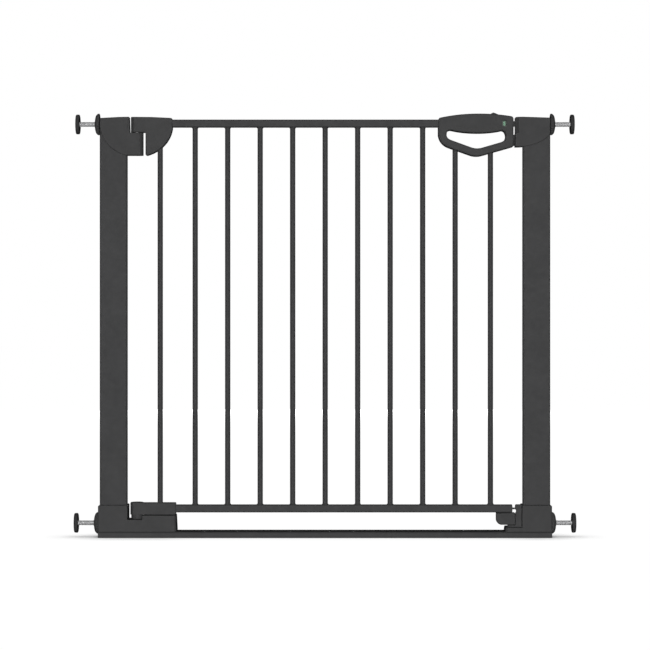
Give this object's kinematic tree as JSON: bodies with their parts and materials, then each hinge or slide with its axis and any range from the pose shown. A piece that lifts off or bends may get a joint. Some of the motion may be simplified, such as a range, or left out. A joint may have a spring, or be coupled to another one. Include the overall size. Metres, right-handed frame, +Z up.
{
  "type": "safety baby gate",
  "caption": "Pressure-fit barred safety gate: U frame with screw pads, lift-and-swing leaf with loop handle, sliding release and latch indicator.",
  "frame": {"origin": "on the floor, in the middle of the gate: the centre of the floor bar's underside", "axes": "+X across the doorway from the hinge post to the latch post, +Y from the front of the gate to its back, +Z up"},
  "size_m": [0.8626, 0.049, 0.73],
  "materials": {
    "painted_steel": "satin powder coat",
    "moulded_plastic": "fine spark-eroded grain",
    "zinc_steel": "bright zinc plate",
    "rubber": "matt rubber",
    "clear_window": "clear moulded window",
    "flag": "green and red flag"
  },
  "bodies": {
    "frame": {"floor_bar": "painted_steel", "left_post": "painted_steel", "right_post": "painted_steel", "hinge_foot": "moulded_plastic", "latch_foot": "moulded_plastic", "hinge_housing_front": "moulded_plastic", "hinge_housing_rear": "moulded_plastic", "hinge_housing_screw_1": "zinc_steel", "hinge_housing_screw_2": "zinc_steel", "latch_housing_front": "moulded_plastic", "latch_housing_rear": "moulded_plastic", "latch_housing_screw_1": "zinc_steel", "latch_housing_screw_2": "zinc_steel"},
    "hinge_pins": {"upper_hinge_pin": "zinc_steel", "lower_hinge_pin": "zinc_steel"},
    "leaf": {"top_rail": "painted_steel", "bottom_rail": "painted_steel", "bar_01": "painted_steel", "bar_02": "painted_steel", "bar_03": "painted_steel", "bar_04": "painted_steel", "bar_05": "painted_steel", "bar_06": "painted_steel", "bar_07": "painted_steel", "bar_08": "painted_steel", "bar_09": "painted_steel", "bar_10": "painted_steel", "bar_11": "painted_steel", "hinge_arm_front": "moulded_plastic", "hinge_arm_rear": "moulded_plastic", "hinge_arm_screw_1": "zinc_steel", "hinge_arm_screw_2": "zinc_steel", "lower_hinge_block": "moulded_plastic", "latch_shoe": "moulded_plastic", "rail_end_plug": "moulded_plastic", "handle_front": "moulded_plastic", "handle_rear": "moulded_plastic", "handle_screw_1": "zinc_steel", "handle_screw_2": "zinc_steel", "handle_screw_3": "zinc_steel", "indicator_window": "clear_window", "latch_buffer": "rubber"},
    "release": {"release_slider": "moulded_plastic", "lock_bolt": "moulded_plastic", "indicator_flag": "flag"},
    "top_left_wheel": {"top_left_wheel": "moulded_plastic"},
    "top_left_spindle": {"top_left_spindle": "zinc_steel", "top_left_pad": "rubber"},
    "top_right_wheel": {"top_right_wheel": "moulded_plastic"},
    "top_right_spindle": {"top_right_spindle": "zinc_steel", "top_right_pad": "rubber"},
    "bottom_left_wheel": {"bottom_left_wheel": "moulded_plastic"},
    "bottom_left_spindle": {"bottom_left_spindle": "zinc_steel", "bottom_left_pad": "rubber"},
    "bottom_right_wheel": {"bottom_right_wheel": "moulded_plastic"},
    "bottom_right_spindle": {"bottom_right_spindle": "zinc_steel", "bottom_right_pad": "rubber"}
  },
  "joints": [
    {"name": "gate_swing", "type": "hinge", "parent": "frame", "child": "hinge_pins", "pos_m": [-0.3233, 0, 0], "axis": [0, 0, 1], "range_deg": [-90, 90]},
    {"name": "gate_lift", "type": "slide", "parent": "hinge_pins", "child": "leaf", "axis": [0, 0, 1], "range_m": [0, 0.012]},
    {"name": "release_slide", "type": "slide", "parent": "leaf", "child": "release", "axis": [-1, 0, 0], "range_m": [0, 0.01], "stiffness_N_per_m": 300, "springref_m": -0.008},
    {"name": "top_left_spindle_slide", "type": "slide", "parent": "frame", "child": "top_left_spindle", "axis": [-1, 0, 0], "range_m": [-0.026, 0.01]},
    {"name": "top_left_wheel_turn", "type": "hinge", "parent": "frame", "child": "top_left_wheel", "pos_m": [-0.392, 0, 0.7099], "axis": [-1, 0, 0], "range_deg": [-4700, 1820]},
    {"name": "top_right_spindle_slide", "type": "slide", "parent": "frame", "child": "top_right_spindle", "axis": [1, 0, 0], "range_m": [-0.026, 0.01]},
    {"name": "top_right_wheel_turn", "type": "hinge", "parent": "frame", "child": "top_right_wheel", "pos_m": [0.392, 0, 0.7099], "axis": [1, 0, 0], "range_deg": [-4700, 1820]},
    {"name": "bottom_left_spindle_slide", "type": "slide", "parent": "frame", "child": "bottom_left_spindle", "axis": [-1, 0, 0], "range_m": [-0.026, 0.01]},
    {"name": "bottom_left_wheel_turn", "type": "hinge", "parent": "frame", "child": "bottom_left_wheel", "pos_m": [-0.3935, 0, 0.024], "axis": [-1, 0, 0], "range_deg": [-4700, 1820]},
    {"name": "bottom_right_spindle_slide", "type": "slide", "parent": "frame", "child": "bottom_right_spindle", "axis": [1, 0, 0], "range_m": [-0.026, 0.01]},
    {"name": "bottom_right_wheel_turn", "type": "hinge", "parent": "frame", "child": "bottom_right_wheel", "pos_m": [0.3935, 0, 0.024], "axis": [1, 0, 0], "range_deg": [-4700, 1820]}
  ],
  "couplings": [
    {"joint": "top_left_wheel_turn", "follows": "top_left_spindle_slide", "rad_per_m": 3141.6},
    {"joint": "top_right_wheel_turn", "follows": "top_right_spindle_slide", "rad_per_m": 3141.6},
    {"joint": "bottom_left_wheel_turn", "follows": "bottom_left_spindle_slide", "rad_per_m": 3141.6},
    {"joint": "bottom_right_wheel_turn", "follows": "bottom_right_spindle_slide", "rad_per_m": 3141.6}
  ]
}
